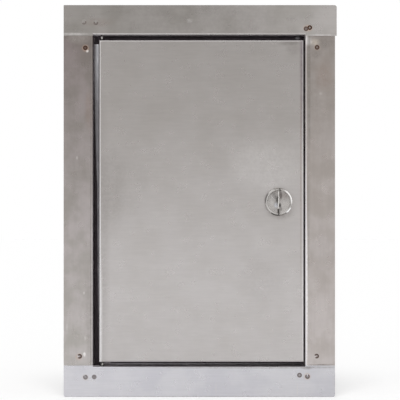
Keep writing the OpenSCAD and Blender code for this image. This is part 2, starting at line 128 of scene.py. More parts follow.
# Slots in the knob's rim from the latch axis in mm: X, lower and upper end, name. Their
# bottoms are rounded
RIM_SLOTS = ((0.9, 9.4, 15, "upper"), (-0.1, -15, -6.6, "lower"))
SLOT_WIDTH = 1.15 * MM
SLOT_DEPTH = 1.8 * MM
SLOT_ROUND = 0.4 * MM

# A weld mark: its facets, how far its ring starts above the sheet and how much it narrows,
# the steps of its dimple as shares of the ring's radius and of the dimple's depth, and the
# rim and depth of the shallow dimple at its back
MARK_SIDES = 40
RING_START = 0.002 * MM
RING_TAPER = 0.93
BACK_RIM = 0.4 * MM
BACK_DIMPLE = 0.08 * MM
DIMPLE_STEPS = ((0.80, -0.02), (0.68, 0.45), (0.56, 0.85), (0.40, 1.0), (0.2, 0.9))

# How near a place a point is picked, and how near two points are the same
NEAR = 0.05 * MM
SAME = 1e-6

# The stage: where the photograph was taken from, the places of lamp and card, how broad the
# lamp looks, the card's width and height, the gap that keeps the frame's foot off the floor,
# and the light that lifts the floor to white for the camera
CAMERA_PLACE = (0.93 * MM, -1.502, 0.62 * MM)
LAMP_PLACE = (-0.06, -1.2, 2.4)
LAMP_BREADTH = math.radians(28)
CARD_PLACE = (0, -2.6, FOOT + 1.1)
CARD_SIZE = (5, 2.2, 1)
FLOOR_GAP = 0.02 * MM
FLOOR_LIFT = 0.13

# Turns a primitive's axis, or the camera's view, to Y
UPRIGHT = (math.radians(90), 0, 0)

ZINC_TINT = "#9C9A92"

# Spot welds: the member's colour, X and Z of the nugget in mm, strength of its ring, how
# brown it is, the way its ring is open and how wide, in degrees anticlockwise from the
# right, and how far its middle is filled
WELD_MARKS = [
    ("top_left", -110.1, 171.0, 0.60, 0.30, 120, 160, 0.0),
    ("top_left", -98.8, 170.5, 0.70, 0.35, 90, 115, 0.1),
    ("left_high", -108.9, 146.4, 0.90, 1.00, 140, 12, 0.7),
    ("top_right", 102.5, 164.7, 0.85, 1.00, 60, 0, 0.75),
    ("top_right", 106.1, 165.8, 1.00, 1.00, 0, 0, 0.45),
    ("right_high", 113.1, 146.9, 0.90, 0.90, 160, 10, 0.5),
    ("left_low", -114.4, -149.1, 0.95, 0.70, 185, 60, 0.55),
    ("bottom_left", -108.8, -169.1, 0.75, 0.35, 120, 20, 0.8),
    ("bottom_left", -100.4, -168.9, 0.70, 0.35, 90, 0, 1.0),
    ("right_low", 112.7, -148.9, 0.95, 0.50, 195, 50, 0.45),
    ("bottom_right", 96.3, -167.2, 0.80, 0.55, 0, 0, 0.6),
    ("bottom_right", 103.9, -168.5, 0.85, 0.65, 95, 30, 0.7),
]

# Colours of the touches: pale for scratches and painted highlights, white for painted glints,
# dark for painted shade, brown and tan for heat tint and stains
PALE, SHADE_GREY, BROWN = "#DEDAD8", "#7E7873", "#8E7668"
TAN, GLINT_WHITE = "#CDAE98", "#FAF7F5"
DOOR_HIGHLIGHT, DOOR_SHADE = "#DFDCDA", "#8A8480"

# Touches on each piece of sheet: X, Z and radii in mm, strength and colour. Most of them
# are painted shade and painted highlights; the others are heat tint, stains and scratches
TOUCHES = {
    # darker middle, painted highlights at the ends of the lower edge, and heat haze at the welds
    "frame_top": [
        (0, 174, 110, 60, 0.3, "#88827E"), (-121, 159.6, 24, 1.8, 0.6, PALE),
        (118, 158.6, 18, 0.9, 0.9, PALE), (-9, 172.5, 4, 3, 0.3, PALE),
        (-97, 170.6, 20, 6, 0.2, BROWN), (104.3, 165.2, 5.6, 4.2, 0.8, TAN),
    ],
    # painted shade on bend, corner, foot and right edge, two pale scratches, heat haze at welds
    "frame_bottom": [
        (50, -159.7, 160, 1.6, 0.45, SHADE_GREY), (103.5, -160.3, 7, 2.2, 0.4, SHADE_GREY),
        (94.3, -181, 0.7, 9, 0.5, PALE), (16.3, -180, 0.7, 8, 0.4, PALE),
        (0, -188.4, 260, 1.8, 0.5, SHADE_GREY), (130.9, -174, 1.6, 22, 0.4, SHADE_GREY),
        (103.9, -168.4, 4.2, 4.2, 0.8, TAN), (-108.8, -169.4, 4.0, 4.0, 0.4, TAN),
    ],
    # pale scratches, painted glints beside the welds, heat haze, a brown stain,
    # a painted highlight near the top, and painted shade on the inner edge and in broad patches
    "frame_left": [
        (-116.9, 40.9, 1.2, 2.5, 0.5, PALE), (-110.2, -88.5, 0.9, 2.2, 0.7, PALE),
        (-109.2, -131.6, 0.9, 2.6, 0.8, PALE), (-126.5, -121, 0.6, 8, 0.6, PALE),
        (-107.1, 143.3, 1.9, 1.8, 1.0, GLINT_WHITE), (-109.8, -147.3, 1.7, 2.9, 1.0, GLINT_WHITE),
        (-108.7, 146.0, 4.4, 4.6, 0.7, TAN), (-105, 86, 6, 26, 0.3, BROWN),
        (-115, -149.5, 4.5, 4.5, 0.5, TAN), (-115, 156, 16, 8, 0.5, "#ADA7A1"),
        (-116, 50, 20, 75, 0.14, SHADE_GREY), (-103.4, 0, 1.1, 600, 0.5, SHADE_GREY),
        (-105, -105, 5, 75, 0.22, SHADE_GREY),
    ],
    # painted glints and shade round the upper weld, a painted highlight on the bend low down,
    # painted shade at the seams and edges and in broad patches, heat haze and a brown smear
    "frame_right": [
        (111, 151.8, 6.5, 4.6, 0.45, "#E2D6C6"), (105.2, 152.6, 4.5, 5, 0.6, PALE),
        (103.8, 153.5, 2.3, 6.5, 1.0, PALE), (107, 158.5, 6, 1.1, 0.8, PALE),
        (118, 157.3, 13, 0.8, 0.4, SHADE_GREY), (111.5, 140.5, 8, 7, 0.35, SHADE_GREY),
        (110.5, 108, 6, 45, 0.15, SHADE_GREY), (104.8, -25, 1.4, 75, 0.4, SHADE_GREY),
        (116.6, 102.6, 2.2, 1.9, 0.25, PALE), (120, 120, 12, 20, 0.25, BROWN),
        (118, 158.4, 18, 0.8, 0.6, SHADE_GREY), (103.3, -95, 1.3, 100, 0.9, "#F6F3F2"),
        (113.1, 146.9, 3.8, 3.8, 0.5, TAN), (105.2, 115, 2.4, 100, 0.6, SHADE_GREY),
        (118, 75, 20, 45, 0.12, SHADE_GREY), (118, -48, 18, 25, 0.12, SHADE_GREY),
        (122, 152, 12, 9, 0.35, SHADE_GREY), (118, -157.2, 18, 0.9, 0.7, SHADE_GREY),
    ],
    # painted shade on the right edge and upper corner, a painted highlight on the left bend,
    # painted shadow round the knob, broad painted shade and light, and a brown line
    "door_pan": [
        (86, 150.6, 14, 2.6, 0.5, DOOR_SHADE), (90, 146, 9, 10, 0.3, DOOR_SHADE),
        (99.4, 150, 3.9, 130, 0.75, "#80757A"), (99.7, 150, 1.6, 110, 0.7, "#5A5256"),
        (92, 151.2, 6, 1.3, 0.4, DOOR_SHADE), (-93.5, -115, 1.2, 75, 0.75, "#F6F4F5"),
        (-94, -40, 10.5, 190, 0.28, DOOR_SHADE), (77.5, -13, 16, 6.5, 0.3, DOOR_SHADE),
        (99.6, -110, 1.0, 90, 0.5, DOOR_HIGHLIGHT), (-70, 15, 34, 50, 0.14, DOOR_SHADE),
        (62, -76, 30, 34, 0.12, DOOR_SHADE), (78.9, -5.2, 17.5, 17.5, 0.4, DOOR_SHADE),
        (66, 34, 50, 36, 0.25, DOOR_HIGHLIGHT), (-84, 10, 16, 60, 0.2, DOOR_SHADE),
        (97.4, 20, 1.0, 150, 0.35, BROWN), (-94.6, -70, 0.7, 140, 0.7, "#F3F1F2"),
    ],
}

# Painted highlights and painted shade on the knob, from the latch axis: X, Z and radii in mm,
# strength, lean in degrees and colour
KNOB_PAINTED_PATCHES = [
    (-8.0, 1.5, 3.2, 7.0, 0.70, -20, "#C8C5C2"), (-3.0, 4.6, 3.2, 6.8, 0.65, -30, "#9A9795"),
    (-6.3, 4.5, 0.6, 5.0, 0.80, -36, "#D6D4D2"), (-2.6, -3.2, 2.6, 3.4, 0.80, 0, "#C4C6CB"),
    (6.0, 6.0, 5.0, 4.6, 0.45, 0, "#968C88"), (2.0, 6.0, 2.0, 5.4, 0.80, 0, "#6C6461"),
    (-1.35, 1.5, 0.85, 3.6, 0.92, 0, "#181514"), (1.35, -3.5, 1.4, 3.0, 0.75, -12, "#211D1B"),
    (1.0, 11.4, 0.8, 3.0, 0.75, 0, "#4A4643"), (-0.2, -9.8, 0.85, 4.0, 0.90, 0, "#1E1B1A"),
    (2.2, -7.0, 1.5, 2.6, 0.55, 0, "#5E5956"), (-2.5, -3.6, 0.9, 3.6, 0.70, 0, "#F2F2F5"),
    (-2.1, -8.8, 1.1, 2.8, 0.70, 0, "#E6E4E3"), (1.0, -8.4, 0.8, 2.8, 0.50, 0, "#46423F"),
    (-1.8, 7.6, 0.9, 3.6, 0.60, 0, "#E4E2E0"),
]

# Painted light and shade in arcs on the knob: angle and half width in degrees, radii in mm,
# strength, colour
KNOB_PAINTED_ARCS = [
    (128, 24, 11.3, 13.6, 0.60, "#DAD7D4"), (225, 38, 9.2, 12.8, 0.65, "#D0CDCA"),
    (300, 26, 9.9, 12.1, 0.80, "#DAD6D4"), (8, 38, 10.4, 11.9, 0.40, "#77746F"),
    (290, 24, 12.0, 13.2, 0.65, "#625D59"), (92, 24, 11.9, 13.6, 0.60, "#858179"),
    (162, 26, 12.0, 13.7, 0.70, "#3E3A37"), (254, 24, 12.1, 13.6, 0.90, "#2E2B29"),
    (180, 52, 9.1, 12.0, 0.85, "#DAD7D4"),
    (27, 42, 11.1, 13.1, 0.95, "#FBF9F7"), (319, 17, 11.7, 13.5, 1.00, "#FFFFFF"),
]


# Settings

def colour_setting(name, place, shade):
    """Colour property of a place on the door, whose default is an sRGB hex colour."""
    return FloatVectorProperty(name=name, description="Colour of " + place, subtype="COLOR",
                               size=4, min=0, max=1, default=linear(shade))


def length_setting(name, description, default, low, high):
    """Length property whose default and limits are given in mm."""
    return FloatProperty(name=name, description=description, unit="LENGTH",
                         default=default * MM, min=low * MM, max=high * MM)


class SheetSettings(bpy.types.PropertyGroup):
    """Colours and finish of the stainless sheet"""
    # Darker high on the frame, paler low down: partly the sheet's tone, partly painted shade
    top_left: colour_setting("Top Member, Left", "the top member at its left end", "#A6A19D")
    top_right: colour_setting("Top Member, Right", "the top member at its right end", "#C0BBB8")
    bottom_left: colour_setting(
        "Bottom Member, Left", "the bottom member at its left end", "#DDDCE1")
    bottom_right: colour_setting(
        "Bottom Member, Right", "the bottom member at its right end", "#D7D6DA")
    left_high: colour_setting("Left Member, Top", "the left member at its top", "#948A88")
    left_low: colour_setting("Left Member, Foot", "the left member at its foot", "#CBC5C4")
    right_high: colour_setting("Right Member, Top", "the right member at its top", "#A69E99")
    right_low: colour_setting("Right Member, Foot", "the right member at its foot", "#CCC5C3")
    door_high: colour_setting("Door, Top", "the door at its top", "#B0ABA8")
    door_low: colour_setting("Door, Foot", "the door at its foot", "#CAC6C5")
    roughness: FloatProperty(
        name="Roughness", description="Roughness of the rolled surface",
        default=0.3, min=0.05, max=0.8, subtype="FACTOR")
    # Painted shade in the channel round the door
    channel_side: colour_setting(
        "Channel, Sides", "the thin film on the webs beside the door", "#B5ABB0")
    channel_back: colour_setting(
        "Channel, Back", "the dull film on the lips behind the door", "#544D51")


class WeldSettings(bpy.types.PropertyGroup):
    """Size and tint of the spot weld marks"""
    nugget: length_setting("Nugget Diameter", "Diameter of a spot weld's nugget", 3.6, 2, 5)
    ring: length_setting(
        "Ring Diameter", "Outer diameter of the raised ring round a nugget", 4.7, 3, 6)
    proud: length_setting("Ring Height", "Height of the ring above the sheet", 0.07, 0.02, 0.2)
    dimple: length_setting("Dimple Depth", "Depth of the dimple inside the ring", 0.2, 0.05, 0.4)
    tint: colour_setting("Heat Tint", "a strongly heated ring", "#452610")
    scale_colour: colour_setting("Grey Tint", "a weakly heated ring", "#645A56")


class KnobSettings(bpy.types.PropertyGroup):
    """Shape and colour of the latch knob"""
    diameter: length_setting("Diameter", "Diameter of the knob's disc", 26.6, 20, 26.6)
    edge: length_setting("Edge Radius", "Rounding of the disc's outer edges", 0.9, 0.3, 1.4)
    hollow: length_setting("Hollow Radius", "Radius of the spherical hollow", 15.2, 14.5, 16)
    hollow_depth: length_setting("Hollow Depth", "Depth of the hollow at its middle", 5, 3, 5.2)
    fin: length_setting("Fin Thickness", "Thickness of the fin at its crest", 1.0, 0.8, 2.5)
    fin_bend: length_setting("Fin Bend", "Sideways sway of the fin's crest", 0.3, 0, 1)
    fin_offset: length_setting(
        "Fin Offset", "How far the fin stands left of the latch axis", 0.45, 0, 0.6)
    rings: IntProperty(
        name="Hollow Rings", description="Number of rings that round the hollow",
        default=12, min=6, max=24)
    colour: colour_setting("Plating", "the satin plating", "#B8B4B1")


class HardwareSettings(bpy.types.PropertyGroup):
    """Colours of the rod, caps, plates and latch parts"""
    rod: colour_setting("Hinge Rod", "the drawn rod", "#D8D5D2")
    cap: colour_setting("Rod Caps", "the zinc plating on the caps and spacer", "#B5B3B0")
    plate: colour_setting("Corner Plates", "the corner plates", "#B3AFAC")
    housing: colour_setting("Housing", "the nickel plating on the housing", "#B9B6B1")
    pressed: colour_setting("Pressed Parts", "the zinc plating on the pressed parts", "#B2B0A8")
    screw: colour_setting("Screw", "the screw and its washer", "#9FA0A4")


class StageSettings(bpy.types.PropertyGroup):
    """Floor, card and light of the plain studio"""
    floor: colour_setting("Floor", "the floor", "#F4F4F4")
    ambient: FloatProperty(
        name="Ambient", description="Strength of the light from all round",
        default=0.62, min=0, max=2)
    card_low: FloatProperty(
        name="Card, Low", description="Brightness of the reflected card at the floor",
        default=0.95, min=0, max=2)
    card_high: FloatProperty(
        name="Card, High", description="Brightness of the reflected card at its top",
        default=0.35, min=0, max=2)
    lamp: FloatProperty(
        name="Lamp Strength", description="Strength of the soft lamp above the front",
        default=1.2, min=0, max=10)
    lens: FloatProperty(
        name="Lens", description="Focal length of the camera in millimetres",
        default=140.92, min=20, max=300)


class CleanoutDoorSettings(bpy.types.PropertyGroup):
    """All settings of the door and its stage"""
    sheet: PointerProperty(type=SheetSettings)
    weld: PointerProperty(type=WeldSettings)
    knob: PointerProperty(type=KnobSettings)
    hardware: PointerProperty(type=HardwareSettings)
    stage: PointerProperty(type=StageSettings)


# Node materials

# Plain words for the nodes that are used most, each with its node and settings
NODE_WORDS = {
    "times": ("Math", {"operation": "MULTIPLY"}),
    "times_plus": ("Math", {"operation": "MULTIPLY_ADD"}),
    "plus": ("Math", {"operation": "ADD"}),
    "minus": ("Math", {"operation": "SUBTRACT"}),
    "larger": ("Math", {"operation": "MAXIMUM"}),
    "below": ("Math", {"operation": "LESS_THAN"}),
    "size": ("Math", {"operation": "ABSOLUTE"}),
    "root": ("Math", {"operation": "SQRT"}),
    "cosine": ("Math", {"operation": "COSINE"}),
    "angle": ("Math", {"operation": "ARCTAN2"}),
    "length": ("VectorMath", {"operation": "LENGTH"}),
    "centred": ("Mapping", {"vector_type": "TEXTURE"}),
    "fade": ("MapRange", {"interpolation_type": "SMOOTHSTEP"}),
    "slope": ("MapRange", {}),
    "blend": ("Mix", {"data_type": "RGBA"}),
    "shade": ("Mix", {"data_type": "RGBA", "blend_type": "MULTIPLY"}),
}


def node(tree, kind, *values, **named):
    """Adds a shader node with its settings and links, and returns its first live output.

    kind is a word of NODE_WORDS or the node's own name. Values fill the live inputs in order.
    A name with a capital is an input, with _ for a space, and any other name is a setting.
    """
    kind, usual = NODE_WORDS.get(kind, (kind, {}))
    made = tree.nodes.new("ShaderNode" + kind)
    for name, value in {**usual, **named}.items():
        if name[0].islower():
            setattr(made, name, value)
    fills = list(zip([socket for socket in made.inputs if socket.enabled], values))
    fills += [(made.inputs[name.replace("_", " ")], value)
              for name, value in named.items() if name[0].isupper()]
    for socket, value in fills:
        if isinstance(value, bpy.types.NodeSocket):
            tree.links.new(value, socket)
        else:
            socket.default_value = value
    return next((socket for socket in made.outputs if socket.enabled), None)


def new_material(name):
    """A material with an empty node tree, and node() bound to that tree, as add."""
    material = bpy.data.materials.new(name)
    material.use_nodes = True
    material.node_tree.nodes.clear()
    return material, partial(node, material.node_tree)


def patches(add, position, size_mm, detail=2.0, stretch=(1, 1, 1), seed=0.0):
    """Uneven patches about size_mm wide, longer where stretch is over 1."""
    place = add("Mapping", Vector=position, Location=(seed, seed * 0.7, seed * 1.3),
                Scale=tuple(1 / s for s in stretch))
    return add("TexNoise", Vector=place, Scale=1 / (size_mm * MM), Detail=detail, Roughness=0.55)


def spot(add, position, x, z, radius_x, radius_z, strength, lean=0, core=0.3):
    """Soft elliptical spot, in mm on the front of the door, as a factor up to strength.

    lean turns the ellipse clockwise by that many degrees, as seen from the front. core is
    the share of the radii inside which the spot has its full strength.
    """
    any_depth = 1000.0
    place = add("centred", Vector=position, Location=(x * MM, 0, z * MM),
                Rotation=(0, math.radians(lean), 0),
                Scale=(radius_x * MM, any_depth, radius_z * MM))
    return add("fade", add("length", place), 1.0, core, 0.0, strength)


def rolled_sheet(name, start_colour, end_colour, along, reach, clouds, grain, roughness,
                 touches=(), bend_highlight=None, channel=None):
    """Rolled stainless sheet: a soft grey mirror, clouded, with fine marks along its grain.

    The colour drifts along one axis, the letter along, between the ends of reach in mm; the
    drift is partly the sheet's own tone and partly painted shade and light. clouds are the tint,
    amount and size in mm of the cloudy patches, grain the stretch of the rolling marks, and
    touches the small marks, as in TOUCHES, many of them painted shade and highlights. The
    argument after touches makes the painted highlight on the bends, and channel the painted
    shade, painted light and pale matt highlights inside the channel round the door.
    """
    material, add = new_material(name)
    position = add("TexCoord").node.outputs["Object"]
    axes = add("SeparateXYZ", position).node.outputs
    # The drift is partly the sheet's own tone and partly painted shade and light
    drift = add("slope", axes[along], reach[0] * MM, reach[1] * MM)
    colour = add("blend", drift, start_colour, end_colour)
    tint, amount, size = clouds
    cloudy = add("fade", patches(add, position, size, 3.0, seed=1.7), 0.35, 0.68, 0.0, amount)
    colour = add("shade", cloudy, colour, linear(tint))
    marks = patches(add, position, ROLLING_STREAK, stretch=grain, seed=4.1)
    streaks = add("fade", marks, 0.3, 0.7, 0.0, 0.07)
    colour = add("shade", streaks, colour, linear("#B8B8B8"))
    uneven = patches(add, position, TOUCH_SPECKLE, seed=3.1)
    uneven = add("fade", uneven, 0.35, 0.65, 0.6, 1.0)
    front = add("fade", axes["Y"], FACE + TOUCH_END, FACE + TOUCH_END - 0.2 * MM)
    uneven = add("times", uneven, front)
    # Touches: mostly painted shade and highlights, also heat tint, stains and scratches
    for x, z, radius_x, radius_z, strength, touch_colour in touches:
        mask = add("times", uneven, spot(add, position, x, z, radius_x, radius_z, strength))
        colour = add("blend", mask, colour, linear(touch_colour))
    # Painted highlight along the bends
    if bend_highlight:
        rise = add("fade", axes["Y"], FACE + 0.02 * MM, FACE + 0.15 * MM)
        fall = add("fade", axes["Y"], 0.8 * MM, 4 * MM, 1.0, 0.0)
        bend = add("fade", past_opening(add, axes), 2.6 * MM, 2.0 * MM)
        shine = add("times", add("times", rise, fall), add("times", bend, bend_highlight(add, axes)))
        colour = add("blend", shine, colour, linear("#F3F1F2"))
    wear = patches(add, position, WEAR_PATCH, seed=7.9)
    dull = add("fade", wear, 0.3, 0.7, roughness - 0.03, roughness + 0.05)
    metal = 1.0
    # In the channel: painted shade, painted light, and pale matt paint as highlights
    if channel:
        within = channel_mask(add, axes)
        inside = add("times", within, add("fade", axes["Y"], 0, 5 * MM))
        channel_shade, painted_light, matt_highlight = channel(add, position, axes)
        channel_shade = add("blend", painted_light, channel_shade, linear("#F2F3F6"))
        colour = add("blend", inside, colour, channel_shade)
        shaded_inside = add("times", inside, add("minus", 1.0, painted_light))
        dull = add("times_plus", shaded_inside, 0.3, dull)
        matt_highlight = add("times", within, matt_highlight)
        colour = add("blend", matt_highlight, colour, linear("#E6E0E4"))
        metal = add("minus", 1.0, matt_highlight)
    fine = patches(add, position, ROLLING_BUMP, stretch=grain, seed=2.2)
    bump = add("Bump", Height=fine, Strength=0.05, Distance=0.0002)
    add("OutputMaterial",
        add("BsdfPrincipled", Base_Color=colour, Metallic=metal, Roughness=dull, Normal=bump))
    return material


def past_opening(add, axes):
    """Distance past the opening's edges, in X or in Z, less than 0 inside the opening."""
    across = add("minus", add("size", axes["X"]), HALF_W)
    along = add("minus", add("size", axes["Z"]), HALF_H)
    return add("larger", across, along)


def bottom_bend_highlight(add, axes):
    """Slight, even painted highlight along the bottom member's bend."""
    return 0.1


def top_bend_highlight(add, axes):
    """Painted highlight along the top member's bend that fades to the right."""
    return add("slope", axes["X"], -100 * MM, 90 * MM, 0.6, 0.3)


def right_bend_highlight(add, axes):
    """Painted highlight along the right member's bend, faint in its upper half."""
    return add("fade", axes["Z"], 65 * MM, -5 * MM, 0.3, 1.0)


def left_bend_highlight(add, axes):
    """Faint painted highlight along the left member's bend, only lower down."""
    return add("fade", axes["Z"], 60 * MM, -60 * MM, 0.0, 0.3)


def door_bend_highlight(add, axes):
    """Painted highlight on the left bend, brighter lower down, and a fainter one on the foot."""
    left = add("fade", axes["X"], -93.6 * MM, -94.5 * MM)
    lower = add("slope", axes["Z"], 150 * MM, -100 * MM, 0.55, 1.0)
    foot = add("fade", axes["Z"], -152 * MM, -153.5 * MM, 0.35, 0.0)
    return add("larger", add("times", left, lower), foot)


def channel_mask(add, axes):
    """1 on the faces inside the channel between the frame and the door, 0 elsewhere."""
    past = add("minus", past_opening(add, axes), HALF_SHEET)
    behind = add("minus", axes["Y"], LIP_MIDDLE)
    return add("below", add("larger", past, behind), 0.0)


def channel_shade_colour(add, axes):
    """Painted shade that darkens from the webs to the lips behind the door."""
    sheet = settings().sheet
    back = add("fade", axes["Y"], 13.5 * MM, 15.6 * MM)
    return add("blend", back, sheet.channel_side, sheet.channel_back)


def mouth(add, axes, end, start):
    """1 on a web from just inside the bend, fading between the depths start and end in mm."""
    return add("times", add("fade", axes["Y"], 0, 1.2 * MM),
               add("fade", axes["Y"], end * MM, start * MM))


def top_channel(add, position, axes):
    """Painted shade, a pale matt highlight at its mouth and a painted glint near the right end.
    """
    # Pale matt paint as a highlight at the mouth
    matt_highlight = add("times", mouth(add, axes, 8, 3),
               add("slope", axes["X"], -90 * MM, 60 * MM, 1.0, 0.75))
    # Painted glint near the right end
    painted_light = spot(add, position, 95.5, 157.6, 3, 2.2, 0.35)
    return channel_shade_colour(add, axes), painted_light, matt_highlight


def right_channel(add, position, axes):
    """Paler painted shade, faintly matt, in the narrow channel beside the door's right edge."""
    return linear("#D8D0CC"), 0.0, 0.15


def left_channel(add, position, axes):
    """Painted shade with a painted lit strip on the left lip, which narrows towards its foot.

    A pale matt highlight lies on the strip's bend at the top.
    """
    x, y, z = axes
    on_lip = add("fade", y, 14.9 * MM, 15.3 * MM)
    bright = add("plus", add("slope", z, -150 * MM, -80 * MM, 0.05, 0.42),
                 add("slope", z, 80 * MM, 150 * MM, 0.0, 0.45))
    inner = add("plus", add("slope", z, -133 * MM, 10 * MM, -97.7 * MM, -98.6 * MM),
                add("slope", z, 10 * MM, 110 * MM, 0.0, -3.4 * MM))
    edge = add("fade", add("minus", x, inner), -0.6 * MM, 0.6 * MM)
    edge = add("times", edge, add("fade", x, -101.4 * MM, -98.6 * MM, 0.5, 1.0))
    shade = add("fade", x, -97.7 * MM, -97.1 * MM, 1.0, 0.5)
    # Painted light on the lip, dimmed by painted shade beside the door's edge
    painted_light = add("times", add("times", on_lip, edge), add("times", bright, shade))
    # Pale matt paint as a highlight on the bend at the top
    corner = add("times", add("fade", x, -100.2 * MM, -100.9 * MM),
                 add("fade", z, 95 * MM, 135 * MM, 0.0, 0.6))
    matt_highlight = add("times", corner, add("fade", y, 13 * MM, 14 * MM))
    return channel_shade_colour(add, axes), painted_light, matt_highlight


def bottom_channel(add, position, axes):
    """Painted shade with a painted highlight line along the foot of the lip, fading to the right.

    Pale matt highlights lie on that line, and at the channel's mouth near its left end.
    """
    x, y, z = axes
    back = add("fade", y, 8 * MM, 11 * MM)
    low = add("fade", z, -157.35 * MM, -158 * MM)
    fade = add("slope", x, -84 * MM, 95 * MM, 0.8, 0.15)
    start = add("fade", x, -84 * MM, -87 * MM, 0.0, 0.2)
    fade = add("plus", fade, start)
    left = add("fade", x, -97 * MM, -94 * MM)
    # Painted highlight line along the foot of the lip, and a brighter painted dash
    lit_mark = add("times", add("times", back, low), add("times", left, fade))
    dash = spot(add, position, -89.4, -157.4, 4.2, 1.0, 1.0, core=0.7)
    lit_mark = add("larger", lit_mark, add("times", back, dash))
    # Pale matt paint as highlights at the mouth
    matt_highlight = add("times", mouth(add, axes, 7, 3), add("fade", x, -40 * MM, -97 * MM, 0.15, 0.9))
    return channel_shade_colour(add, axes), lit_mark, add("larger", matt_highlight, lit_mark)


def plated(name, colour, tint, grain_mm, stretch, roughness, painted_shade=None):
    """Plated or drawn metal: an even colour with fine grain of the given size and stretch.

    The argument after roughness makes the factor of dark painted shade over the metal.
    """
    material, add = new_material(name)
    position = add("TexCoord").node.outputs["Object"]
    grain = patches(add, position, grain_mm, 3.0, stretch, seed=3.3)
    mottled = add("blend", add("fade", grain, 0.35, 0.7, 0.0, 0.5), colour, linear(tint))
    # Dark painted shade
    if painted_shade:
        mottled = add("blend", painted_shade(add, position), mottled, linear("#2A2729"))
    dull = add("fade", grain, 0.3, 0.7, roughness - 0.04, roughness + 0.06)
    bump = add("Bump", Height=grain, Strength=0.15, Distance=0.05 * MM)
    add("OutputMaterial",
        add("BsdfPrincipled", Base_Color=mottled, Metallic=1.0, Roughness=dull, Normal=bump))
    return material


def heat_tinted_weld():
    """Weld metal in a ring of heat tint: brown or grey oxide round a pale dimple.

    The piece's UV map is the offset from the nugget's middle in ring radii. Its attribute
    "mark" holds the ring's strength, brownness, open direction and opening. Its attribute
    "sheet_colour" holds the colour of the member round it and how far its middle is filled.
    """
    weld = settings().weld
    material, add = new_material("Heat-tinted weld metal")
    offset = add("UVMap", uv_map="offset")
    mark = add("Attribute", attribute_name="mark").node
    strength, brown, way = add("SeparateColor", mark.outputs["Color"]).node.outputs
    width = mark.outputs["Alpha"]
    around = add("Attribute", attribute_name="sheet_colour").node
    radius = add("length", offset)
    inner = add("larger", add("fade", radius, 0.1, 0.58), around.outputs["Alpha"])
    ring = add("times", inner, add("fade", radius, 1.05, 0.9))
    point = add("SeparateXYZ", offset).node.outputs
    angle = add("angle", point["Y"], point["X"])
    turn = add("minus", angle, add("times", way, math.tau))
    apart = add("minus", 1.0, add("cosine", turn))
    half_gap = add("times", width, math.pi)
    gap = add("minus", 1.0, add("cosine", half_gap))
    gap = add("minus", gap, add("fade", width, 0.0, 0.08, 0.3, 0.0))
    shut = add("fade", add("minus", apart, gap), -0.05, 0.15)
    ring = add("times", add("times", ring, shut), strength)
    tint = add("blend", brown, weld.scale_colour, weld.tint)
    colour = add("blend", ring, around.outputs["Color"], tint)
    rough = add("fade", ring, 0.0, 1.0, 0.3, 0.5)
    add("OutputMaterial", add("BsdfPrincipled", Base_Color=colour, Metallic=1.0, Roughness=rough))
    return material


def satin_plating(axis):
    """Satin chrome on a die-cast knob: soft grey mirror, with painted highlights on the rim and
    the fin's crest, and painted shade in the slots, in the rim's corner and beside the fin."""
    material, add = new_material("Satin chrome plating")
    position = add("TexCoord").node.outputs["Object"]
    centred = add("centred", Vector=position, Location=(axis.x, 0, axis.z))
    point = add("SeparateXYZ", centred).node.outputs
    grain = patches(add, position, 1.2, 3.0, seed=5.5)
    colour = add("blend", add("fade", grain, 0.35, 0.7, 0.0, 0.35), settings().knob.colour,
                 linear("#A9A5A2"))
    # Painted highlights and shade in patches
    for x, z, radius_x, radius_z, strength, lean, patch in KNOB_PAINTED_PATCHES:
        mask = spot(add, centred, x, z, radius_x, radius_z, strength, lean)
        colour = add("blend", mask, colour, linear(patch))
    # Painted highlights and shade in arcs round the rim
    for angle, half_width, inner, outer, strength, patch in KNOB_PAINTED_ARCS:
        mask = arc(add, point, angle, half_width, inner, outer, strength)
        colour = add("blend", mask, colour, linear(patch))
    # Painted highlight on the fin's crest
    front = add("fade", point["Y"], KNOB_FRONT + 0.9 * MM, KNOB_FRONT + 0.3 * MM)
    crest = spot(add, centred, -0.35, 1.8, 1.8, 9.8, 1.0, core=0.8)
    colour = add("blend", add("times", front, crest), colour, linear("#DCD9D6"))
    dull = add("fade", grain, 0.3, 0.7, 0.2, 0.3)
    add("OutputMaterial", add("BsdfPrincipled", Base_Color=colour, Metallic=1.0, Roughness=dull))
    return material


def arc(add, point, angle, half_width, inner, outer, strength):
    """Soft arc round the latch axis: degrees anticlockwise from the right, and mm radii."""
    across, up = point["X"], point["Z"]
    radius = add("root", add("plus", add("times", across, across), add("times", up, up)))
    middle_radius, half = (inner + outer) / 2 * MM, (outer - inner) / 2 * MM
    off = add("size", add("minus", radius, middle_radius))
    band = add("fade", off, half, half * 0.4, 0.0, strength)
    turn = add("minus", add("angle", up, across), math.radians(angle))
    end = math.cos(math.radians(half_width))
    inside = math.cos(math.radians(half_width * 0.5))
    return add("times", band, add("fade", add("cosine", turn), end, inside))


# Modelling

def select(*pieces):
    """Selects these pieces and nothing else, with the first of them active."""
    bpy.ops.object.select_all(action="DESELECT")
    for piece in pieces:
        piece.select_set(True)
    if pieces:
        bpy.context.view_layer.objects.active = pieces[0]


def begin(name, primitive, **options):
    """Adds a primitive with nothing else selected, places it in its mesh and opens it."""
    select()
    primitive(**options)
    piece = bpy.context.object
    piece.name = name
    piece.data.name = name
    bpy.ops.object.transform_apply(location=True, rotation=True, scale=True)
    bpy.ops.object.mode_set(mode="EDIT")
    bpy.ops.mesh.select_mode(type="FACE")
    return piece


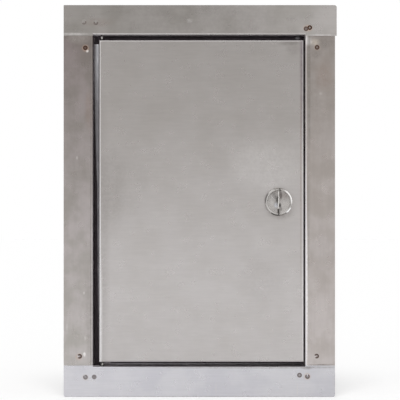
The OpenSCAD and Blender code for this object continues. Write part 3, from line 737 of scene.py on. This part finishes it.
def pick(kind, test):
    """Selects the open mesh's faces or edges that pass the test, and nothing else."""
    bpy.ops.mesh.select_mode(type={"faces": "FACE", "edges": "EDGE"}[kind])
    bpy.ops.mesh.select_all(action="DESELECT")
    mesh = bmesh.from_edit_mesh(bpy.context.object.data)
    found = [item for item in getattr(mesh, kind) if test(item)]
    if not found:
        raise RuntimeError(f"no {kind} to pick on {bpy.context.object.name}")
    for item in found:
        item.select_set(True)
    bmesh.update_edit_mesh(bpy.context.object.data)


def pull(distance):
    """Extrudes the picked faces along Y."""
    bpy.ops.mesh.extrude_region_move(TRANSFORM_OT_translate={"value": (0, distance, 0)})


def spread(factor):
    """Scales the picked faces about the Y axis."""
    bpy.ops.transform.resize(value=(factor, 1, factor), center_override=(0, 0, 0))


def slide(distance):
    """Moves the picked faces along Y."""
    bpy.ops.transform.translate(value=(0, distance, 0))


def round_off(radius, segments=3):
    """Bevels the picked edges."""
    bpy.ops.mesh.bevel(offset=radius, segments=segments, affect="EDGES")


def carve(piece, cutter):
    """Cuts one closed object out of another and removes the cutter."""
    select(piece)
    cut = piece.modifiers.new("cut", "BOOLEAN")
    cut.operation = "DIFFERENCE"
    cut.solver = "EXACT"
    cut.object = cutter
    bpy.ops.object.modifier_apply(modifier=cut.name)
    bpy.data.objects.remove(cutter)


def finish_piece(piece, smooth=35):
    """Closes and orients the open mesh, leaves edit mode and smooths its round faces."""
    bpy.ops.mesh.select_all(action="SELECT")
    bpy.ops.mesh.remove_doubles(threshold=SAME)
    bpy.ops.mesh.normals_make_consistent(inside=False)
    bpy.ops.object.mode_set(mode="OBJECT")
    bpy.ops.object.shade_smooth_by_angle(angle=math.radians(smooth))
    return piece


def join(pieces, name):
    """Joins pieces into the first of them."""
    select(*pieces)
    bpy.ops.object.join()
    pieces[0].name = name
    pieces[0].data.name = name
    return pieces[0]


def dress(piece, material):
    """Gives a piece or CAD node one material."""
    piece.data.materials.clear()
    piece.data.materials.append(material)


def settings():
    """All the settings, which the scene keeps."""
    return bpy.context.scene.cleanout_door


# Operators

class CLEANOUT_OT_stage(bpy.types.Operator):
    """Set up the camera, the pale floor, the reflected card, the lamp and the white world"""
    bl_idname = "cleanout.stage"
    bl_label = "Studio Stage"

    def execute(self, context):
        stage = settings().stage
        scene = context.scene
        scene.view_settings.view_transform = "Standard"
        self.world(scene, stage.ambient)
        select()
        bpy.ops.object.camera_add(location=CAMERA_PLACE, rotation=UPRIGHT)
        camera = context.object
        camera.name = "camera"
        camera.data.lens = stage.lens
        camera.data.sensor_width = 36
        camera.data.clip_start = 0.05
        scene.camera = camera
        self.floor(stage)
        self.card(stage)
        self.lamp(stage)
        return {"FINISHED"}

    def world(self, scene, ambient):
        """White where the camera, gloss and glass look, softer as light on the stage."""
        world = bpy.data.worlds.new("White studio")
        world.use_nodes = True
        world.node_tree.nodes.clear()
        add = partial(node, world.node_tree)
        rays = add("LightPath").node.outputs
        seen = add("larger", rays["Is Camera Ray"], rays["Is Glossy Ray"])
        seen = add("larger", seen, rays["Is Transmission Ray"])
        strength = add("slope", seen, 0.0, 1.0, ambient, 1.0)
        add("OutputWorld", add("Background", (1, 1, 1, 1), strength))
        scene.world = world

    def floor(self, stage):
        """Pale matt floor under the door; what the camera sees of it is lifted to white."""
        floor = begin("floor", bpy.ops.mesh.primitive_plane_add, size=12,
                      location=(0, 0, FOOT - FLOOR_GAP))
        bpy.ops.object.mode_set(mode="OBJECT")
        material, add = new_material("Matt white paper")
        position = add("TexCoord").node.outputs["Object"]
        fibre = add("fade", patches(add, position, 3.0), 0.3, 0.7, 0.0, 0.02)
        colour = add("blend", fibre, stage.floor, linear("#E0E0E0"))
        seen = add("LightPath").node.outputs["Is Camera Ray"]
        lift = add("Emission", Strength=add("times", seen, FLOOR_LIFT))
        add("OutputMaterial", add("AddShader", add("BsdfDiffuse", colour), lift))
        dress(floor, material)

    def card(self, stage):
        """Card behind the camera, seen only in the metal: pale at the floor and dark above."""
        card = begin("front_card", bpy.ops.mesh.primitive_plane_add, size=1,
                     location=CARD_PLACE, rotation=UPRIGHT, scale=CARD_SIZE)
        bpy.ops.object.mode_set(mode="OBJECT")
        material, add = new_material("Graded grey card")
        position = add("TexCoord").node.outputs["Object"]
        axes = add("SeparateXYZ", position).node.outputs
        level = add("slope", axes["Z"], FOOT, 0.95, stage.card_low, stage.card_high)
        side = add("slope", axes["X"], -0.8, 0.8, 0.94, 1.06)
        glow = add("Emission", Strength=add("times", level, side))
        add("OutputMaterial", glow)
        dress(card, material)
        card.visible_camera = False
        card.visible_diffuse = False
        card.visible_shadow = False

    def lamp(self, stage):
        """Broad soft lamp high in front, which draws the door's shadow on the floor."""
        select()
        place = Vector(LAMP_PLACE)
        turn = (-place).to_track_quat("-Z", "Y").to_euler()
        bpy.ops.object.light_add(type="SUN", location=place, rotation=turn)
        lamp = bpy.context.object
        lamp.name = "soft_lamp"
        lamp.data.angle = LAMP_BREADTH
        lamp.data.energy = stage.lamp
        lamp.visible_glossy = False


class CLEANOUT_OT_frame_sheet(bpy.types.Operator):
    """Finish the four members of the frame and the corner plates behind them"""
    bl_idname = "cleanout.frame_sheet"
    bl_label = "Frame Members"

    def execute(self, context):
        sheet = settings().sheet
        members = (
            ("frame_top", "top member", sheet.top_left, sheet.top_right, "X", (-115, 125),
             ("#E2E2DE", 0.6, 26), top_bend_highlight, top_channel),
            ("frame_bottom", "bottom member", sheet.bottom_left, sheet.bottom_right, "X",
             (-110, 120), ("#EEEEF2", 0.5, 30), bottom_bend_highlight, bottom_channel),
            ("frame_left", "left member", sheet.left_low, sheet.left_high, "Z", (-150, 150),
             ("#E2E4DE", 0.8, 22), left_bend_highlight, left_channel),
            ("frame_right", "right member", sheet.right_low, sheet.right_high, "Z",
             (-150, 150), ("#E6E4E0", 0.7, 24), right_bend_highlight, right_channel),
        )
        for name, title, start, end, along, reach, clouds, bend_highlight, channel in members:
            grain = (14, 1, 1) if along == "X" else (1, 1, 14)
            dress(NODES[name], rolled_sheet(
                "Rolled stainless, " + title, start, end, along, reach, clouds, grain,
                sheet.roughness, TOUCHES[name], bend_highlight, channel))
        colour = settings().hardware.plate
        plate = rolled_sheet("Rolled stainless, corner plates", colour, colour, "Z",
                             (-180, 180), ("#D0D0CC", 0.7, 12), (8, 1, 1), 0.34)
        for name in ("top_left", "top_right", "bottom_left", "bottom_right"):
            dress(NODES["corner_plate_" + name], plate)
        return {"FINISHED"}


class CLEANOUT_OT_door_sheet(bpy.types.Operator):
    """Finish the pan door"""
    bl_idname = "cleanout.door_sheet"
    bl_label = "Pan Door"

    def execute(self, context):
        sheet = settings().sheet
        dress(NODES["door_pan"], rolled_sheet(
            "Rolled stainless, door", sheet.door_low, sheet.door_high, "Z", (-85, 80),
            ("#F0EFEC", 0.35, 34), (10, 1, 1), sheet.roughness, TOUCHES["door_pan"],
            door_bend_highlight))
        return {"FINISHED"}


class CLEANOUT_OT_spot_welds(bpy.types.Operator):
    """Model the twelve weld marks: nugget, raised ring and dimple"""
    bl_idname = "cleanout.spot_welds"
    bl_label = "Spot Welds"

    def execute(self, context):
        weld = settings().weld
        first = self.nugget(weld)
        marks = [first]
        for _ in WELD_MARKS[1:]:
            select(first)
            bpy.ops.object.duplicate(linked=False)
            marks.append(context.object)
        for mark, facts in zip(marks, WELD_MARKS):
            self.place(mark, *facts)
        piece = join(marks, "spot_weld_marks")
        dress(piece, heat_tinted_weld())
        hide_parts("spot_welds")
        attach(piece, "frame")
        return {"FINISHED"}

    def nugget(self, weld):
        """One mark at X = Z = 0, from the back of the plate to the ring on the sheet."""
        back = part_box("spot_welds")[1].y
        ring, core = weld.ring / 2, weld.nugget / 2
        piece = begin("weld_mark", bpy.ops.mesh.primitive_cylinder_add, vertices=MARK_SIDES,
                      radius=core, depth=back - FACE, location=(0, (back + FACE) / 2, 0),
                      rotation=UPRIGHT)
        pick("faces", lambda f: f.normal.y < -0.9)
        pull(-RING_START)
        spread(ring / core)
        pull(-weld.proud)
        spread(RING_TAPER)
        for radius, depth in DIMPLE_STEPS:
            bpy.ops.mesh.inset(thickness=self.step(piece, radius * ring))
            slide(depth * weld.dimple - self.sunk(piece))
        pick("faces", lambda f: f.normal.y > 0.9 and f.calc_center_median().y > FACE + 0.5 * MM)
        bpy.ops.mesh.inset(thickness=BACK_RIM)
        slide(-BACK_DIMPLE)
        finish_piece(piece, 50)
        uv = piece.data.uv_layers.new(name="offset")
        for loop in piece.data.loops:
            point = piece.data.vertices[loop.vertex_index].co
            uv.data[loop.index].uv = (point.x / ring, point.z / ring)
        return piece

    def front(self, piece):
        """Reach and depth of the picked front face."""
        mesh = bmesh.from_edit_mesh(piece.data)
        faces = [f for f in mesh.faces if f.select]
        reach = max(math.hypot(v.co.x, v.co.z) for f in faces for v in f.verts)
        depth = min(v.co.y for f in faces for v in f.verts)
        return reach, depth

    def step(self, piece, radius):
        """Inset that brings the picked round face to the given radius."""
        return (self.front(piece)[0] - radius) * math.cos(math.pi / MARK_SIDES)

    def sunk(self, piece):
        """Depth of the picked face below the top of the ring."""
        return self.front(piece)[1] - (FACE - settings().weld.proud - RING_START)

    def place(self, mark, member, x, z, strength, brown, way, width, fill):
        """Puts a mark at its corner and writes what its ring is like on its points."""
        select(mark)
        bpy.ops.transform.translate(value=(x * MM, 0, z * MM))
        bpy.ops.object.transform_apply(location=True, rotation=True, scale=True)
        facts = mark.data.attributes.new("mark", "FLOAT_COLOR", "POINT")
        for item in facts.data:
            item.color = (strength, brown, (way % 360) / 360, width / 360)
        around = mark.data.attributes.new("sheet_colour", "FLOAT_COLOR", "POINT")
        for item in around.data:
            item.color = (*getattr(settings().sheet, member)[:3], fill)


class CLEANOUT_OT_latch_knob(bpy.types.Operator):
    """Model the dished knob with its fin, rim slots, neck, shaft and square tail"""
    bl_idname = "cleanout.latch_knob"
    bl_label = "Latch Knob"

    def execute(self, context):
        knob = settings().knob
        disc = self.disc(knob)
        self.cut_slots(disc)
        piece = join([disc, self.fin(knob), self.tail()], "knob")
        dress(piece, satin_plating(LATCH_AXIS))
        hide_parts("latch_knob")
        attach(piece, "latch")
        return {"FINISHED"}

    def disc(self, knob):
        """Disc with its spherical hollow in front, and the neck and shaft behind."""
        x, z = LATCH_AXIS.x, LATCH_AXIS.z
        radius = knob.diameter / 2
        piece = begin("knob_disc", bpy.ops.mesh.primitive_cylinder_add,
                      vertices=KNOB_SIDES, radius=radius, depth=KNOB_BACK - KNOB_FRONT,
                      location=(x, (KNOB_BACK + KNOB_FRONT) / 2, z), rotation=UPRIGHT)
        hollow, depth = knob.hollow, knob.hollow_depth
        rim = math.sqrt(hollow ** 2 - (hollow - depth) ** 2)
        pick("faces", lambda f: f.normal.y < -0.9)
        now = radius
        for i in range(knob.rings + 1):
            wide = rim * math.cos(math.pi / 2 * i / (knob.rings + 1))
            bpy.ops.mesh.inset(thickness=(now - wide) * math.cos(math.pi / KNOB_SIDES))
            sunk = math.sqrt(hollow ** 2 - wide ** 2) - (hollow - depth)
            before = math.sqrt(hollow ** 2 - now ** 2) - (hollow - depth) if i else 0
            slide(sunk - before)
            now = wide
        bpy.ops.mesh.poke()
        pick("faces", lambda f: f.normal.y > 0.9)
        bpy.ops.mesh.inset(thickness=radius - NECK_RADIUS)
        pull(NECK_END - KNOB_BACK)
        bpy.ops.mesh.inset(thickness=NECK_RADIUS - SHAFT_RADIUS)
        pull(SHAFT_END - NECK_END)
        pick("edges", lambda e: all(
            abs(math.hypot(v.co.x - x, v.co.z - z) - radius) < NEAR for v in e.verts)
            and abs(e.verts[0].co.y - e.verts[1].co.y) < SAME)
        round_off(knob.edge, 6)
        pick("edges", lambda e: all(
            abs(math.hypot(v.co.x - x, v.co.z - z) - rim) < NEAR for v in e.verts))
        round_off(CREST_ROUND)
        return finish_piece(piece)

    def cut_slots(self, disc):
        """Cuts the two slots in the rim at the ends of the fin."""
        for x, low, high, name in RIM_SLOTS:
            cutter = begin("slot_" + name, bpy.ops.mesh.primitive_cube_add, size=1,
                           location=(LATCH_AXIS.x + x * MM, KNOB_FRONT,
                                     LATCH_AXIS.z + (low + high) / 2 * MM),
                           scale=(SLOT_WIDTH, 2 * SLOT_DEPTH, (high - low) * MM))
            pick("edges", lambda e: all(v.co.y > KNOB_FRONT for v in e.verts)
                 and abs(e.verts[0].co.z - e.verts[1].co.z) > 1 * MM)
            round_off(SLOT_ROUND)
            bpy.ops.object.mode_set(mode="OBJECT")
            carve(disc, cutter)

    def fin(self, knob):
        """Upright fin across the hollow, thin at its crest and swaying a little."""
        x, z = LATCH_AXIS.x - knob.fin_offset, LATCH_AXIS.z
        low, high = z + FIN_FOOT * MM, z + FIN_HEAD * MM
        root = KNOB_FRONT + knob.hollow_depth - ROOT_RISE
        piece = begin("knob_fin", bpy.ops.mesh.primitive_cube_add, size=1,
                      location=(x, (KNOB_FRONT + root) / 2, (low + high) / 2),
                      scale=(FIN_ROOT, root - KNOB_FRONT, high - low))
        pick("edges", lambda e: abs(e.verts[0].co.z - e.verts[1].co.z) > 5 * MM)
        bpy.ops.mesh.subdivide(number_cuts=15)
        pick("faces", lambda f: f.normal.y < -0.9)
        bpy.ops.transform.resize(value=(knob.fin / FIN_ROOT, 1, 1), center_override=(x, 0, z))
        heights = sorted({round(v.co.z, 6) for v in bmesh.from_edit_mesh(piece.data).verts})
        for height in heights:
            off = (height - z - SWAY_MIDDLE * MM) / (SWAY_REACH * MM)
            sway = knob.fin_bend * (1 - off ** 2)
            pick("edges", lambda e: all(abs(v.co.z - height) < SAME for v in e.verts)
                 and all(v.co.y < KNOB_FRONT + 1 * MM for v in e.verts))
            bpy.ops.transform.translate(value=(sway, 0, 0))
        pick("edges", lambda e: all(v.co.y < KNOB_FRONT + 0.01 * MM for v in e.verts)
             and len({round(f.normal.y, 1) for f in e.link_faces}) > 1)
        round_off(CREST_ROUND)
        return finish_piece(piece, 50)

    def tail(self):
        """Square tail that carries the cam, chamfered at its end."""
        piece = begin("knob_tail", bpy.ops.mesh.primitive_cube_add, size=1,
                      location=(LATCH_AXIS.x, (SHAFT_END + TAIL_END) / 2, LATCH_AXIS.z),
                      scale=(2 * TAIL_HALF, TAIL_END - SHAFT_END, 2 * TAIL_HALF))
        pick("faces", lambda f: f.normal.y > 0.9)
        bpy.ops.mesh.inset(thickness=0.3 * MM)
        pick("edges", lambda e: all(v.co.y > TAIL_END - 0.01 * MM for v in e.verts)
             and len({round(f.normal.y, 1) for f in e.link_faces}) > 1)
        round_off(0.2 * MM, 1)
        return finish_piece(piece, 20)


class CLEANOUT_OT_hardware(bpy.types.Operator):
    """Finish the hinge rod with its caps and spacer, and the plated latch parts"""
    bl_idname = "cleanout.hardware"
    bl_label = "Hinge and Latch Parts"

    def execute(self, context):
        colours = settings().hardware
        even = (1, 1, 1)
        finishes = (
            # Bright, with fine lines along the rod and painted shade near its ends
            ("Drawn stainless rod", colours.rod, "#C4C0BC", 0.5, (1, 1, 30), 0.22,
             self.rod_shade, ("hinge_rod",)),
            # The same plating as the caps, dark with painted shade
            ("Zinc-plated spacer", colours.cap, ZINC_TINT, 1.5, even, 0.3,
             self.spacer_shade, ("hinge_spacer",)),
            # Soft grey with a faint yellow mottle
            ("Zinc-plated spring steel", colours.cap, ZINC_TINT, 1.5, even, 0.35, None,
             ("rod_cap_upper", "rod_cap_lower")),
            # Warm satin grey with the fine grain of a casting
            ("Nickel-plated zinc casting", colours.housing, "#A19D97", 0.9, even, 0.32, None,
             ("latch_housing",)),
            # Dull grey, mottled more coarsely than the rest
            ("Zinc-plated pressed steel", colours.pressed, "#9A9892", 2.2, even, 0.36, None,
             ("latch_lock_washer", "latch_nut", "latch_spring_washer", "latch_stop_washer",
              "latch_cam")),
            # Cooler and a little brighter grey
            ("Zinc-plated screw steel", colours.screw, "#85868C", 0.8, even, 0.3, None,
             ("cam_washer", "cam_screw")),
        )
        for title, colour, tint, grain, stretch, roughness, painted_shade, names in finishes:
            material = plated(title, colour, tint, grain, stretch, roughness, painted_shade)
            for name in names:
                dress(NODES[name], material)
        return {"FINISHED"}

    def rod_shade(self, add, position):
        """Painted shade on the rod where it leaves the door, except in the middle of each gap."""
        axes = add("SeparateXYZ", position).node.outputs
        height = add("size", axes["Z"])
        beyond = add("fade", height, 157.0 * MM, 157.8 * MM)
        within = add("fade", height, 155.6 * MM, 155.0 * MM)
        inside = add("fade", height, 150 * MM, 152 * MM)
        # Fainter painted shade over the upper end
        haze = add("fade", axes["Z"], 150 * MM, 152 * MM, 0.0, 0.45)
        painted_shade = add("times", add("larger", beyond, within), inside)
        return add("larger", painted_shade, haze)

    def spacer_shade(self, add, position):
        """Painted shade all over the spacer but for one lit spot in front."""
        lit_mark = spot(add, position, -92.7, -156.9, 1.0, 1.9, 1.0, lean=28)
        return add("minus", 0.92, lit_mark)


class CLEANOUT_PT_door(bpy.types.Panel):
    """Lists the steps that dress the door and their settings"""
    bl_idname = "CLEANOUT_PT_door"
    bl_label = "Chimney Cleanout Door"
    bl_space_type = "VIEW_3D"
    bl_region_type = "UI"
    bl_category = "Cleanout Door"

    def draw(self, context):
        groups = settings()
        for title, group, operators in PANEL_ROWS:
            box = self.layout.box()
            box.label(text=title)
            values = getattr(groups, group)
            for name in values.bl_rna.properties.keys():
                if name not in ("rna_type", "name"):
                    box.prop(values, name)
            for step in operators:
                box.operator(step)


PANEL_ROWS = [
    ("Stage", "stage", ["cleanout.stage"]),
    ("Sheet", "sheet", ["cleanout.frame_sheet", "cleanout.door_sheet"]),
    ("Welds", "weld", ["cleanout.spot_welds"]),
    ("Knob", "knob", ["cleanout.latch_knob"]),
    ("Hardware", "hardware", ["cleanout.hardware"]),
]

CLASSES = (
    SheetSettings, WeldSettings, KnobSettings, HardwareSettings, StageSettings,
    CleanoutDoorSettings, CLEANOUT_OT_stage, CLEANOUT_OT_frame_sheet, CLEANOUT_OT_door_sheet,
    CLEANOUT_OT_spot_welds, CLEANOUT_OT_latch_knob, CLEANOUT_OT_hardware, CLEANOUT_PT_door,
)


def register():
    for cls in CLASSES:
        bpy.utils.register_class(cls)
    bpy.types.Scene.cleanout_door = PointerProperty(type=CleanoutDoorSettings)


def unregister():
    del bpy.types.Scene.cleanout_door
    for cls in reversed(CLASSES):
        bpy.utils.unregister_class(cls)


def main():
    register()
    bpy.ops.cleanout.stage()
    bpy.ops.cleanout.frame_sheet()
    bpy.ops.cleanout.door_sheet()
    bpy.ops.cleanout.spot_welds()
    bpy.ops.cleanout.latch_knob()
    bpy.ops.cleanout.hardware()


if __name__ == "__main__":
    main()
